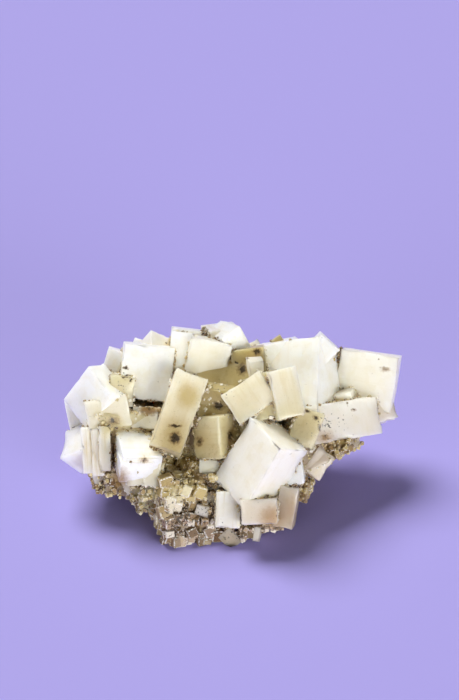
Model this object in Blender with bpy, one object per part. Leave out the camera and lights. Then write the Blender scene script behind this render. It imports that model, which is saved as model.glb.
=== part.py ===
"""A cluster of intergrown halite cubes, 120 mm wide, as one solid.

The big clear crystals fan out of a lump of rock salt. Where the lump shows between and under
them it is a crust of much smaller cubes. Halite grows as a cube, so every crystal here is a
rectangular block with its own size and its own tilt, and all of them are joined into one body.
Its broken underside is flat, and the cluster rests on that.

Lengths are in millimetres, with X across, Y away from the front and Z up. The origin is in the
middle of the cluster, on the surface that it rests on.
"""

import math
import random

import bmesh
import bpy
from mathutils import Euler, Matrix, Vector

NODE = "halite_cluster"
MM = 0.001
SEED = 7

# The middle of the cluster as it is built up below, moved to the origin at the end.
MIDDLE = Vector((0.24, 2.16, 0.0))

# Each crystal: its centre, its size, and its turn about X, then Y, then Z, in degrees.
FRONT_CRYSTALS = {
    "front_white": ((9.9, -19.1, 25.7), (14.3, 18.4, 26.8), (9, 29, 39)),
    "front_white_side": ((19.2, -15.0, 22.0), (12.0, 12.0, 13.0), (-35, -11, -2)),
    "tall_central": ((-18.5, -5.0, 37.5), (11.5, 13.0, 28.0), (-43, 18, -9)),
    "central_cube": ((-4.0, -6.2, 29.2), (12.0, 15.5, 15.0), (-22, -21, -32)),
    "banded_left": ((7.1, -4.1, 43.2), (16.2, 12.0, 12.1), (-48, -31, 17)),
    "banded_middle": ((12.2, -2.8, 43.2), (12.6, 12.0, 15.5), (-41, -15, 11)),
    "banded_right": ((18.1, -5.5, 46.3), (9.7, 10.0, 16.8), (-37, -3, 17)),
    "terraced": ((-33.0, -10.9, 24.9), (14.0, 18.5, 11.5), (2, 9, 12)),
    "terraced_lower": ((-31.6, -14.2, 20.2), (11.0, 12.0, 8.0), (-22, -5, 7)),
    "terraced_boss": ((-36.0, -17.5, 25.0), (6.0, 9.0, 6.0), (-10, 4, 9)),
    "terraced_side": ((-27.0, -16.0, 20.5), (6.0, 9.0, 9.0), (-25, 0, -7)),
    "ledge_left": ((-29.6, -1.1, 31.7), (9.5, 10.0, 7.8), (-45, 0, -6)),
    "spotted": ((-7.5, -13.1, 17.3), (8.0, 9.0, 11.0), (-29, 4, 1)),
    "front_striated": ((-1.5, -23.0, 10.0), (8.5, 12.0, 12.5), (-31, 4, 2)),
    "front_brown": ((9.7, -28.8, 13.6), (12.5, 12.0, 8.6), (-32, -4, -2)),
    "front_brown_right": ((19.4, -23.6, 11.6), (6.5, 12.0, 14.5), (-30, 5, -10)),
    "foot_white": ((9.0, -27.6, 2.6), (3.0, 7.0, 5.5), (-30, 4, -8)),
    "foot_pink": ((-6.5, -22.5, 0.5), (8.5, 8.0, 6.5), (-27, 7, -4)),
    "foot_point": ((-0.5, -27.5, 0.5), (6.0, 6.0, 7.0), (-37, -36, 24)),
    "crust_cube_a": ((-28.0, -18.5, 13.5), (6.0, 6.0, 5.0), (-28, 14, -1)),
    "crust_cube_b": ((-24.0, -18.0, 16.5), (4.5, 5.0, 4.0), (-25, 12, -14)),
    "crust_cube_c": ((-29.6, -18.0, 8.5), (6.0, 6.0, 5.0), (-30, 5, 12)),
    "crust_cube_d": ((-10.0, -24.5, 10.5), (5.2, 6.0, 4.2), (-28, 12, -10)),
    "foot_behind": ((-8.0, -20.5, 8.0), (6.0, 8.0, 12.0), (-28, 6, 4)),
    "foot_brown": ((5.4, -26.6, 3.3), (5.0, 6.0, 4.0), (-20, 10, 0)),
    "foot_right": ((13.5, -25.1, 5.0), (7.0, 6.0, 4.0), (-25, 5, 5)),
    "front_dark": ((24.5, -17.0, 14.0), (5.0, 6.0, 7.0), (-25, 10, -10)),
}
LEFT_CRYSTALS = {
    "left_large": ((-47.0, 3.5, 38.0), (9.0, 15.0, 17.0), (23, 24, 47)),
    "upper_left": ((-29.5, 13.0, 42.5), (18.0, 16.0, 19.0), (-32, 6, 0)),
    "upper_left_behind": ((-40.5, 18.0, 34.5), (12.0, 14.0, 22.0), (-33, 15, -8)),
    "left_peak": ((-26.5, 18.0, 45.0), (10.0, 13.0, 10.5), (12, 32, 10)),
    "left_between": ((-43.0, 0.0, 34.5), (15.0, 12.0, 11.0), (-29, -8, 9)),
    "left_strip": ((-38.5, 6.0, 39.5), (8.5, 12.0, 10.5), (-31, 7, 3)),
    "left_middle": ((-53.2, 9.5, 27.5), (9.0, 10.0, 11.0), (-30, -9, 8)),
    "left_lower": ((-50.7, -3.1, 21.2), (12.0, 12.0, 11.5), (23, -38, -23)),
    "plate_a": ((-50.0, -6.0, 23.0), (4.0, 12.0, 16.0), (-30, -2, 4)),
    "plate_b": ((-47.0, -7.0, 23.5), (4.0, 12.0, 17.0), (-27, -1, 6)),
    "plate_c": ((-44.0, -8.0, 25.0), (4.0, 12.0, 16.0), (-31, 0, 3)),
    "left_tip": ((-45.5, -6.5, 11.5), (5.5, 9.0, 8.0), (-15, -15, 9)),
    "strip": ((-36.0, -11.0, 14.0), (4.5, 8.0, 9.0), (-17, -25, 7)),
    "strip_cube": ((-30.5, -12.5, 11.0), (9.0, 9.0, 7.0), (-10, -4, 10)),
    "under_tip": ((-40.0, -11.0, 10.3), (9.0, 7.0, 4.0), (-15, 10, 5)),
}
TOP_CRYSTALS = {
    "top_left": ((-16.5, 24.0, 44.5), (10.5, 14.0, 14.0), (-32, 6, -2)),
    "top_tan": ((-3.0, 24.5, 44.0), (11.5, 14.0, 16.0), (-24, 2, 15)),
    "top_white": ((-1.2, 22.2, 48.7), (8.1, 16.1, 10.8), (-24, -17, 35)),
    "top_between": ((-17.5, 16.0, 48.5), (8.0, 10.0, 14.0), (-35, 5, -3)),
    "upper_middle": ((-8.6, 14.5, 47.5), (15.0, 12.0, 13.0), (-28, 14, -1)),
    "middle_khaki": ((-2.0, 6.2, 37.3), (20.0, 14.0, 22.0), (-55, 0, 0)),
    "small_khaki": ((8.0, 8.5, 47.5), (5.5, 8.0, 6.5), (-19, 1, 10)),
    "top_olive": ((6.0, 14.5, 46.0), (12.0, 10.0, 9.0), (-31, -7, 4)),
    "back_tip": ((16.5, 27.5, 45.0), (4.0, 6.0, 4.0), (-36, -29, 20)),
}
RIGHT_CRYSTALS = {
    "right_large": ((25.4, 12.5, 36.1), (21.4, 29.1, 18.3), (38, -24, -19)),
    "right_behind": ((17.0, 22.0, 40.5), (15.0, 12.0, 14.0), (-31, -8, 9)),
    "right_peak": ((31.0, 19.0, 47.0), (9.0, 12.0, 10.0), (-40, 35, -26)),
    "right_far": ((47.7, 19.0, 34.5), (20.9, 14.0, 20.0), (-32, 4, -10)),
    "right_khaki": ((24.8, -8.0, 33.2), (10.0, 10.0, 13.4), (-39, 22, -3)),
    "right_below": ((34.4, 1.0, 29.4), (32.7, 14.0, 13.3), (-34, 11, 30)),
    "right_pale": ((49.5, 10.9, 26.1), (13.1, 12.0, 7.7), (-38, 3, 29)),
    "right_corner": ((53.6, 18.5, 23.0), (7.5, 10.0, 9.0), (-31, -10, -1)),
    "right_mottled": ((34.1, -3.1, 22.7), (17.0, 12.0, 9.1), (-38, -5, 36)),
    "right_pink": ((29.1, -12.5, 21.8), (7.2, 9.0, 9.8), (-38, 37, -8)),
}
BACK_CRYSTALS = {
    "back_left": ((-41.0, 22.0, 29.0), (14.0, 15.0, 14.0), (24, -14, 34)),
    "back_left_upper": ((-29.0, 25.0, 34.5), (15.0, 15.0, 16.0), (38, 8, -24)),
    "back_middle": ((-11.0, 29.0, 34.0), (16.0, 15.0, 17.0), (28, 18, 12)),
    "back_middle_right": ((6.0, 27.0, 33.0), (14.0, 15.0, 15.0), (42, -12, 38)),
    "back_right_upper": ((22.0, 24.0, 35.0), (15.0, 14.0, 14.0), (30, 22, -16)),
    "back_right": ((38.0, 22.0, 28.0), (14.0, 15.0, 13.0), (22, -24, 28)),
    "back_low_left": ((-34.0, 23.0, 18.0), (13.0, 12.0, 12.0), (14, 20, 20)),
    "back_low_middle": ((-17.0, 27.0, 15.0), (14.0, 13.0, 14.0), (18, -16, -28)),
    "back_low_right": ((2.0, 28.0, 17.0), (13.0, 12.0, 15.0), (12, 12, 36)),
    "back_foot": ((19.0, 23.0, 15.0), (14.0, 13.0, 14.0), (20, -18, 14)),
}

# The lump that everything grows out of: blocks as above, with how many crust cubes each carries.
LUMP = {
    "base_left": ((-7.0, 3.0, 10.0), (28.0, 40.0, 24.0), (4, -3, 18), 70),
    "base_right": ((4.0, -1.0, 9.0), (24.0, 36.0, 22.0), (-5, 4, -22), 50),
    "base_back": ((-3.0, 12.0, 9.0), (36.0, 24.0, 22.0), (3, 5, -8), 30),
    "base_front_left": ((-18.0, -16.0, 9.0), (15.0, 18.0, 16.0), (-20, 10, 12), 210),
    "middle": ((-4.0, 9.0, 27.0), (36.0, 30.0, 30.0), (-15, 5, -5), 0),
    "left_wing": ((-32.0, 6.0, 24.0), (34.0, 26.0, 21.0), (-12, 4, 8), 0),
    "left_under": ((-33.0, -2.0, 15.0), (22.0, 18.0, 14.0), (-15, 20, 5), 110),
    "right_wing": ((28.0, 13.9, 22.6), (36.0, 22.0, 18.0), (-20, -14, -6), 0),
    "front_foot": ((-15.0, -23.0, 3.5), (18.0, 12.0, 8.0), (-8, 4, 10), 140),
    "right_end": ((46.0, 15.0, 24.4), (16.0, 12.0, 10.0), (43, -7, 14), 0),
    "right_under": ((36.0, 5.0, 23.4), (15.0, 15.0, 12.0), (-47, -14, 21), 0),
    "right_edge": ((33.8, -5.8, 23.0), (13.1, 10.0, 5.6), (-38, -5, 36), 40),
    "right_front": ((24.5, -7.0, 23.4), (12.0, 16.0, 17.0), (-45, -16, 22), 0),
}
CRUST_CUBE = (1.7, 4.0)
CRUST_SUNK = 0.15
CRUST_TILT = 24

# Growth steps: low square plateaus on the broad faces of the biggest crystals.
STEP_HEIGHT = 0.4
STEPPED = {
    "terraced": "-y",
    "back_middle": "+y",
    "back_left_upper": "+y",
    "back_right_upper": "+y",
}
AXES = {"x": 0, "y": 1, "z": 2}
STEP_SHARE = (0.82, 0.6)

# Nothing reaches below the surface that the cluster rests on.
GROUND_SIZE = 200.0


def clear_scene():
    for obj in list(bpy.data.objects):
        bpy.data.objects.remove(obj)


def placement(centre, turn):
    """The matrix that turns a block and carries it to its place."""
    angles = Euler([math.radians(angle) for angle in turn], "XYZ")
    return Matrix.Translation(Vector(centre)) @ angles.to_matrix().to_4x4()


def block(name, matrix, size):
    """A helper object: one rectangular block, which the cluster's union takes in."""
    mesh = bpy.data.meshes.new(name)
    shape = bmesh.new()
    bmesh.ops.create_cube(shape, size=1.0)
    shape.transform(Matrix.Scale(MM, 4) @ matrix @ Matrix.Diagonal((*size, 1.0)))
    shape.to_mesh(mesh)
    shape.free()
    helper = bpy.data.objects.new(name, mesh)
    helper.hide_render = True
    helper.display_type = "WIRE"
    return helper


def inside(point, matrix, size, margin):
    """Whether a point is in a block that is larger than the given one by the margin."""
    local = matrix.inverted() @ point
    return all(abs(local[i]) < size[i] / 2 + margin for i in range(3))


def growth_steps(name, centre, size, turn, side):
    """Two low plateaus, the upper on the lower, on one face of a crystal."""
    axis = AXES[side[1]]
    sign = -1 if side[0] == "-" else 1
    matrix = placement(centre, turn)
    steps = []
    for level, share in enumerate(STEP_SHARE):
        plateau = [length * share for length in size]
        plateau[axis] = size[axis]
        shift = Vector((0.0, 0.0, 0.0))
        shift[axis] = sign * STEP_HEIGHT * (level + 1)
        steps.append(block(f"{name}_step_{level}", matrix @ Matrix.Translation(shift), plateau))
    return steps


def crust_cube(name, rng, centre, size, turn):
    """A small cube grown part way out of a random place on a block of the lump."""
    matrix = placement(centre, turn)
    areas = [size[1] * size[2], size[0] * size[2], size[0] * size[1]]
    axis = rng.choices(range(3), weights=areas)[0]
    point = Vector([rng.uniform(-0.5, 0.5) * length for length in size])
    point[axis] = math.copysign(size[axis] / 2, point[axis])
    edge = rng.uniform(*CRUST_CUBE)
    tilt = Euler([math.radians(rng.uniform(-CRUST_TILT, CRUST_TILT)) for _ in range(3)])
    place = matrix @ Matrix.Translation(point) @ tilt.to_matrix().to_4x4()
    shape = [edge * rng.uniform(0.8, 1.2) for _ in range(3)]
    shape[axis] += edge * CRUST_SUNK
    return block(name, place, shape), matrix @ point


def crust(crystals):
    """The small cubes of the lump, left out where a crystal or another block covers the place."""
    blocks = {**crystals, **LUMP}
    solids = {name: (placement(row[0], row[2]), row[1]) for name, row in blocks.items()}
    cubes = []
    for name, (centre, size, turn, count) in LUMP.items():
        rng = random.Random(f"{name} {SEED}")
        others = [solid for other, solid in solids.items() if other != name]
        for number in range(count):
            cube, point = crust_cube(f"{name}_crust_{number}", rng, centre, size, turn)
            covered = any(inside(point, matrix, extent, 0.4) for matrix, extent in others)
            if covered or point.z < 0.5:
                bpy.data.objects.remove(cube)
            else:
                cubes.append(cube)
    return cubes


def joined(name, helpers):
    """One mesh: the union of every helper, cut off flat at the ground."""
    first, rest = helpers[0], helpers[1:]
    group = bpy.data.collections.new("grown_together")
    for helper in rest:
        group.objects.link(helper)
    ground = block("ground", Matrix.Translation((0, 0, -GROUND_SIZE / 2)), [GROUND_SIZE] * 3)
    bpy.context.scene.collection.objects.link(ground)
    bpy.context.scene.collection.objects.link(first)
    bpy.context.scene.collection.children.link(group)
    union = first.modifiers.new("grown_together", "BOOLEAN")
    union.operation = "UNION"
    union.operand_type = "COLLECTION"
    union.collection = group
    union.solver = "EXACT"
    cut = first.modifiers.new("flat_underside", "BOOLEAN")
    cut.operation = "DIFFERENCE"
    cut.object = ground
    cut.solver = "EXACT"
    bpy.context.view_layer.update()
    graph = bpy.context.evaluated_depsgraph_get()
    mesh = bpy.data.meshes.new_from_object(first.evaluated_get(graph))
    mesh.name = name
    for helper in [*helpers, ground]:
        bpy.data.objects.remove(helper)
    bpy.data.collections.remove(group)
    return mesh


def islands(shape):
    """The groups of faces that hang together."""
    left = set(shape.faces)
    found = []
    while left:
        group = {left.pop()}
        edge_of_group = set(group)
        while edge_of_group:
            near = {face for f in edge_of_group for edge in f.edges for face in edge.link_faces}
            edge_of_group = near & left
            group |= edge_of_group
            left -= edge_of_group
        found.append(group)
    return found


def fill_cavities(mesh):
    """Salt fills the closed gaps inside, so only the outermost skin is kept."""
    shape = bmesh.new()
    shape.from_mesh(mesh)
    groups = sorted(islands(shape), key=len)
    inner = [face for group in groups[:-1] for face in group]
    bmesh.ops.delete(shape, geom=inner, context="FACES")
    bmesh.ops.triangulate(shape, faces=shape.faces)
    shape.to_mesh(mesh)
    shape.free()


def salt_material():
    material = bpy.data.materials.new("halite")
    material.use_nodes = True
    shader = material.node_tree.nodes["Principled BSDF"]
    shader.inputs["Base Color"].default_value = (0.86, 0.82, 0.68, 1.0)
    shader.inputs["Roughness"].default_value = 0.25
    shader.inputs["Metallic"].default_value = 0.0
    return material


def main():
    clear_scene()
    crystals = {**FRONT_CRYSTALS, **LEFT_CRYSTALS, **TOP_CRYSTALS}
    crystals.update({**RIGHT_CRYSTALS, **BACK_CRYSTALS})
    helpers = [block(name, placement(row[0], row[2]), row[1]) for name, row in LUMP.items()]
    for name, (centre, size, turn) in crystals.items():
        helpers.append(block(name, placement(centre, turn), size))
        if name in STEPPED:
            helpers.extend(growth_steps(name, centre, size, turn, STEPPED[name]))
    helpers.extend(crust(crystals))
    mesh = joined(NODE, helpers)
    fill_cavities(mesh)
    mesh.transform(Matrix.Translation(-MIDDLE * MM))
    cluster = bpy.data.objects.new(NODE, mesh)
    cluster.data.materials.clear()
    cluster.data.materials.append(salt_material())
    bpy.context.scene.collection.objects.link(cluster)


main()
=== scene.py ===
# %% [markdown]
# # A cluster of halite cubes
#
# Halite is rock salt. Salt water that dries slowly grows it as cubes, and where many cubes start
# close together they grow into each other and fan out of one lump. This lesson makes such a
# cluster: about seventy large crystals, milky white at their tips and honey coloured near their
# roots, over a crust of thousands of small cubes stained by clay.
#
# The solid model already holds the cluster's main shapes. Here every shape is worked out again
# with numpy as a fine surface, so that edges are a little round and chipped and faces carry low
# growth steps, and then it gets materials, a floor, lights and a camera.

import itertools
import math
import random

import bpy
import numpy as np
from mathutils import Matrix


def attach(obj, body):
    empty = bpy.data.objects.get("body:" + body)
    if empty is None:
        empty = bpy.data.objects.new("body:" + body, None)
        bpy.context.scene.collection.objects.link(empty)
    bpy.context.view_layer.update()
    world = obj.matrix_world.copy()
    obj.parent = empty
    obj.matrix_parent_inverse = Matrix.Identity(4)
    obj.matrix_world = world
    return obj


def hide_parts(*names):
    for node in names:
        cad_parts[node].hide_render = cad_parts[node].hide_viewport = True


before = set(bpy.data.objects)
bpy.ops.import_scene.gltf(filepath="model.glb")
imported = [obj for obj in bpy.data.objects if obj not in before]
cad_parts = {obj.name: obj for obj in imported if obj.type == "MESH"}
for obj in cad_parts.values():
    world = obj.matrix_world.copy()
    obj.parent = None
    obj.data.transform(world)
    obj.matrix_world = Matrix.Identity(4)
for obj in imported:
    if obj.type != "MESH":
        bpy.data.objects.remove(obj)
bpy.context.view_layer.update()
NODE = "halite_cluster"

# %% [markdown]
# ## Lengths and the place of things
#
# Crystals are easiest to describe in millimetres, from the middle of the lump's front edge. The
# solid model has the middle of its whole box at the origin, so everything is moved by one short
# vector at the end. Each crystal is a block with a centre, a size, and a turn about X, then Y,
# then Z.

# %% Millimetres and turns
MM = 0.001
VIEW_DOWN = math.radians(35)
TOWARD = np.array([0.0, -math.cos(VIEW_DOWN), math.sin(VIEW_DOWN)])
MIDDLE = np.array([0.24, 2.16, 0.0])
LUMP_FRONT = -33.0


def turned(turn):
    """The 3 x 3 matrix of a turn about X, then Y, then Z, in degrees.

    Each axis has its own matrix of cosines and sines, and the product does X first.
    """
    (cx, cy, cz), (sx, sy, sz) = np.cos(np.radians(turn)), np.sin(np.radians(turn))
    about_x = np.array([[1, 0, 0], [0, cx, -sx], [0, sx, cx]])
    about_y = np.array([[cy, 0, sy], [0, 1, 0], [-sy, 0, cy]])
    about_z = np.array([[cz, -sz, 0], [sz, cz, 0], [0, 0, 1]])
    return about_z @ about_y @ about_x


# %% [markdown]
# ## The colours of salt
#
# Pure salt is clear, and looks white where it is full of tiny bubbles of brine. A little clay
# makes it ivory and honey, and more of it tea brown. Each crystal has two named tints, one for
# its upper end and one for its lower end, and the surface fades from one to the other.

# %% Named tints
def linear(red, green, blue):
    """Screen values from 0 to 255 as the linear light values that a shader works with."""
    share = np.array([red, green, blue]) / 255
    return np.where(share <= 0.04045, share / 12.92, ((share + 0.055) / 1.055) ** 2.4)


TINTS = {
    "snow": linear(250, 249, 245),
    "cream": linear(245, 241, 230),
    "ivory": linear(238, 231, 211),
    "sand": linear(227, 216, 178),
    "honey": linear(209, 190, 134),
    "amber": linear(182, 160, 100),
    "tea": linear(146, 116, 72),
    "umber": linear(104, 76, 44),
    "earth": linear(150, 122, 100),
    "rose": linear(231, 221, 207),
    "shell": linear(217, 203, 187),
    "clay": linear(187, 163, 140),
    "rust": linear(188, 158, 124),
}
print(len(TINTS), "tints")

# %% [markdown]
# ## The large crystals
#
# The crystals fan out from the lump: those in front lean towards the viewer, those on the left
# lean left, and so on round the cluster. They are kept in five groups by the side they are on,
# and each row gives the centre, the size and the turn, then the upper and the lower tint.

# %% The crystals of each side
FRONT = {
    "front_white": ((9.9, -19.1, 25.7), (14.3, 18.4, 26.8), (9, 29, 39), "cream", "cream"),
    "front_white_side": ((19.2, -15.0, 22.0), (12.0, 12.0, 13.0), (-35, -11, -2), "snow", "snow"),
    "tall_central": ((-18.5, -5.0, 37.5), (11.5, 13.0, 28.0), (-43, 18, -9), "ivory", "honey"),
    "central_cube": ((-4.0, -6.2, 29.2), (12.0, 15.5, 15.0), (-22, -21, -32), "sand", "honey"),
    "banded_left": ((7.1, -4.1, 43.2), (16.2, 12.0, 12.1), (-48, -31, 17), "ivory", "sand"),
    "banded_middle": ((12.2, -2.8, 43.2), (12.6, 12.0, 15.5), (-41, -15, 11), "sand", "sand"),
    "banded_right": ((18.1, -5.5, 46.3), (9.7, 10.0, 16.8), (-37, -3, 17), "ivory", "sand"),
    "terraced": ((-33.0, -10.9, 24.9), (14.0, 18.5, 11.5), (2, 9, 12), "snow", "snow"),
    "terraced_lower": ((-31.6, -14.2, 20.2), (11.0, 12.0, 8.0), (-22, -5, 7), "ivory", "sand"),
    "terraced_boss": ((-36.0, -17.5, 25.0), (6.0, 9.0, 6.0), (-10, 4, 9), "snow", "snow"),
    "terraced_side": ((-27.0, -16.0, 20.5), (6.0, 9.0, 9.0), (-25, 0, -7), "ivory", "sand"),
    "ledge_left": ((-29.6, -1.1, 31.7), (9.5, 10.0, 7.8), (-45, 0, -6), "cream", "sand"),
    "spotted": ((-7.5, -13.1, 17.3), (8.0, 9.0, 11.0), (-29, 4, 1), "ivory", "sand"),
    "front_striated": ((-1.5, -23.0, 10.0), (8.5, 12.0, 12.5), (-31, 4, 2), "cream", "rose"),
    "front_brown": ((9.7, -28.8, 13.6), (12.5, 12.0, 8.6), (-32, -4, -2), "rose", "shell"),
    "front_brown_right": ((19.4, -23.6, 11.6), (6.5, 12.0, 14.5), (-30, 5, -10), "shell", "clay"),
    "foot_white": ((9.0, -27.6, 2.6), (3.0, 7.0, 5.5), (-30, 4, -8), "rose", "shell"),
    "foot_pink": ((-6.5, -22.5, 0.5), (8.5, 8.0, 6.5), (-27, 7, -4), "rose", "shell"),
    "foot_point": ((-0.5, -27.5, 0.5), (6.0, 6.0, 7.0), (-37, -36, 24), "shell", "clay"),
    "crust_cube_a": ((-28.0, -18.5, 13.5), (6.0, 6.0, 5.0), (-28, 14, -1), "sand", "honey"),
    "crust_cube_b": ((-24.0, -18.0, 16.5), (4.5, 5.0, 4.0), (-25, 12, -14), "sand", "honey"),
    "crust_cube_c": ((-29.6, -18.0, 8.5), (6.0, 6.0, 5.0), (-30, 5, 12), "sand", "honey"),
    "crust_cube_d": ((-10.0, -24.5, 10.5), (5.2, 6.0, 4.2), (-28, 12, -10), "rose", "shell"),
    "foot_behind": ((-8.0, -20.5, 8.0), (6.0, 8.0, 12.0), (-28, 6, 4), "shell", "clay"),
    "foot_brown": ((5.4, -26.6, 3.3), (5.0, 6.0, 4.0), (-20, 10, 0), "tea", "tea"),
    "foot_right": ((13.5, -25.1, 5.0), (7.0, 6.0, 4.0), (-25, 5, 5), "rust", "clay"),
    "front_dark": ((24.5, -17.0, 14.0), (5.0, 6.0, 7.0), (-25, 10, -10), "tea", "tea"),
}
LEFT = {
    "left_large": ((-47.0, 3.5, 38.0), (9.0, 15.0, 17.0), (23, 24, 47), "snow", "snow"),
    "upper_left": ((-29.5, 13.0, 42.5), (18.0, 16.0, 19.0), (-32, 6, 0), "snow", "cream"),
    "upper_left_behind": ((-40.5, 18.0, 34.5), (12.0, 14.0, 22.0), (-33, 15, -8), "snow", "cream"),
    "left_peak": ((-26.5, 18.0, 45.0), (10.0, 13.0, 10.5), (12, 32, 10), "cream", "ivory"),
    "left_between": ((-43.0, 0.0, 34.5), (15.0, 12.0, 11.0), (-29, -8, 9), "ivory", "ivory"),
    "left_strip": ((-38.5, 6.0, 39.5), (8.5, 12.0, 10.5), (-31, 7, 3), "sand", "ivory"),
    "left_middle": ((-53.2, 9.5, 27.5), (9.0, 10.0, 11.0), (-30, -9, 8), "snow", "cream"),
    "left_lower": ((-50.7, -3.1, 21.2), (12.0, 12.0, 11.5), (23, -38, -23), "snow", "cream"),
    "plate_a": ((-50.0, -6.0, 23.0), (4.0, 12.0, 16.0), (-30, -2, 4), "cream", "rose"),
    "plate_b": ((-47.0, -7.0, 23.5), (4.0, 12.0, 17.0), (-27, -1, 6), "cream", "rose"),
    "plate_c": ((-44.0, -8.0, 25.0), (4.0, 12.0, 16.0), (-31, 0, 3), "ivory", "rose"),
    "left_tip": ((-45.5, -6.5, 11.5), (5.5, 9.0, 8.0), (-15, -15, 9), "rose", "shell"),
    "strip": ((-36.0, -11.0, 14.0), (4.5, 8.0, 9.0), (-17, -25, 7), "ivory", "rose"),
    "strip_cube": ((-30.5, -12.5, 11.0), (9.0, 9.0, 7.0), (-10, -4, 10), "honey", "amber"),
    "under_tip": ((-40.0, -11.0, 10.3), (9.0, 7.0, 4.0), (-15, 10, 5), "clay", "tea"),
}
TOP = {
    "top_left": ((-16.5, 24.0, 44.5), (10.5, 14.0, 14.0), (-32, 6, -2), "snow", "cream"),
    "top_tan": ((-3.0, 24.5, 44.0), (11.5, 14.0, 16.0), (-24, 2, 15), "cream", "ivory"),
    "top_white": ((-1.2, 22.2, 48.7), (8.1, 16.1, 10.8), (-24, -17, 35), "snow", "snow"),
    "top_between": ((-17.5, 16.0, 48.5), (8.0, 10.0, 14.0), (-35, 5, -3), "snow", "cream"),
    "upper_middle": ((-8.6, 14.5, 47.5), (15.0, 12.0, 13.0), (-28, 14, -1), "cream", "ivory"),
    "middle_khaki": ((-2.0, 6.2, 37.3), (20.0, 14.0, 22.0), (-55, 0, 0), "honey", "honey"),
    "small_khaki": ((8.0, 8.5, 47.5), (5.5, 8.0, 6.5), (-19, 1, 10), "cream", "cream"),
    "top_olive": ((6.0, 14.5, 46.0), (12.0, 10.0, 9.0), (-31, -7, 4), "honey", "honey"),
    "back_tip": ((16.5, 27.5, 45.0), (4.0, 6.0, 4.0), (-36, -29, 20), "honey", "honey"),
}
RIGHT = {
    "right_large": ((25.4, 12.5, 36.1), (21.4, 29.1, 18.3), (38, -24, -19), "snow", "cream"),
    "right_behind": ((17.0, 22.0, 40.5), (15.0, 12.0, 14.0), (-31, -8, 9), "snow", "cream"),
    "right_peak": ((31.0, 19.0, 47.0), (9.0, 12.0, 10.0), (-40, 35, -26), "snow", "cream"),
    "right_far": ((47.7, 19.0, 34.5), (20.9, 14.0, 20.0), (-32, 4, -10), "cream", "cream"),
    "right_khaki": ((24.8, -8.0, 33.2), (10.0, 10.0, 13.4), (-39, 22, -3), "sand", "honey"),
    "right_below": ((34.4, 1.0, 29.4), (32.7, 14.0, 13.3), (-34, 11, 30), "cream", "rose"),
    "right_pale": ((49.5, 10.9, 26.1), (13.1, 12.0, 7.7), (-38, 3, 29), "rose", "rose"),
    "right_corner": ((53.6, 18.5, 23.0), (7.5, 10.0, 9.0), (-31, -10, -1), "cream", "rose"),
    "right_mottled": ((34.1, -3.1, 22.7), (17.0, 12.0, 9.1), (-38, -5, 36), "shell", "clay"),
    "right_pink": ((29.1, -12.5, 21.8), (7.2, 9.0, 9.8), (-38, 37, -8), "shell", "clay"),
}
BACK = {
    "back_left": ((-41.0, 22.0, 29.0), (14.0, 15.0, 14.0), (24, -14, 34), "snow", "cream"),
    "back_left_upper": ((-29.0, 25.0, 34.5), (15.0, 15.0, 16.0), (38, 8, -24), "snow", "ivory"),
    "back_middle": ((-11.0, 29.0, 34.0), (16.0, 15.0, 17.0), (28, 18, 12), "cream", "ivory"),
    "back_middle_right": ((6.0, 27.0, 33.0), (14.0, 15.0, 15.0), (42, -12, 38), "cream", "sand"),
    "back_right_upper": ((22.0, 24.0, 35.0), (15.0, 14.0, 14.0), (30, 22, -16), "snow", "ivory"),
    "back_right": ((38.0, 22.0, 28.0), (14.0, 15.0, 13.0), (22, -24, 28), "snow", "cream"),
    "back_low_left": ((-34.0, 23.0, 18.0), (13.0, 12.0, 12.0), (14, 20, 20), "ivory", "honey"),
    "back_low_middle": ((-17.0, 27.0, 15.0), (14.0, 13.0, 14.0), (18, -16, -28), "sand", "honey"),
    "back_low_right": ((2.0, 28.0, 17.0), (13.0, 12.0, 15.0), (12, 12, 36), "ivory", "sand"),
    "back_foot": ((19.0, 23.0, 15.0), (14.0, 13.0, 14.0), (20, -18, 14), "sand", "amber"),
}
SIDES = {"front": FRONT, "left": LEFT, "top": TOP, "right": RIGHT, "back": BACK}
crystals = {name: row for side in SIDES.values() for name, row in side.items()}
print(len(crystals), "large crystals")

# %% [markdown]
# ## The lump
#
# Under and between the crystals is a lump of salt. Thirteen blocks make its bulk. Six of them are
# smooth, and show as honey coloured or pale salt between the crystals. The other seven are rough
# and crusted, and each carries a number of middling cubes that grow part way out of it.

# %% The blocks of the lump
LUMP = {
    "base_left": ((-7.0, 3.0, 10.0), (28.0, 40.0, 24.0), (4, -3, 18), 70),
    "base_right": ((4.0, -1.0, 9.0), (24.0, 36.0, 22.0), (-5, 4, -22), 50),
    "base_back": ((-3.0, 12.0, 9.0), (36.0, 24.0, 22.0), (3, 5, -8), 30),
    "base_front_left": ((-18.0, -16.0, 9.0), (15.0, 18.0, 16.0), (-20, 10, 12), 210),
    "middle": ((-4.0, 9.0, 27.0), (36.0, 30.0, 30.0), (-15, 5, -5), 0),
    "left_wing": ((-32.0, 6.0, 24.0), (34.0, 26.0, 21.0), (-12, 4, 8), 0),
    "left_under": ((-33.0, -2.0, 15.0), (22.0, 18.0, 14.0), (-15, 20, 5), 110),
    "right_wing": ((28.0, 13.9, 22.6), (36.0, 22.0, 18.0), (-20, -14, -6), 0),
    "front_foot": ((-15.0, -23.0, 3.5), (18.0, 12.0, 8.0), (-8, 4, 10), 140),
    "right_end": ((46.0, 15.0, 24.4), (16.0, 12.0, 10.0), (43, -7, 14), 0),
    "right_under": ((36.0, 5.0, 23.4), (15.0, 15.0, 12.0), (-47, -14, 21), 0),
    "right_edge": ((33.8, -5.8, 23.0), (13.1, 10.0, 5.6), (-38, -5, 36), 40),
    "right_front": ((24.5, -7.0, 23.4), (12.0, 16.0, 17.0), (-45, -16, 22), 0),
}

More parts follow.
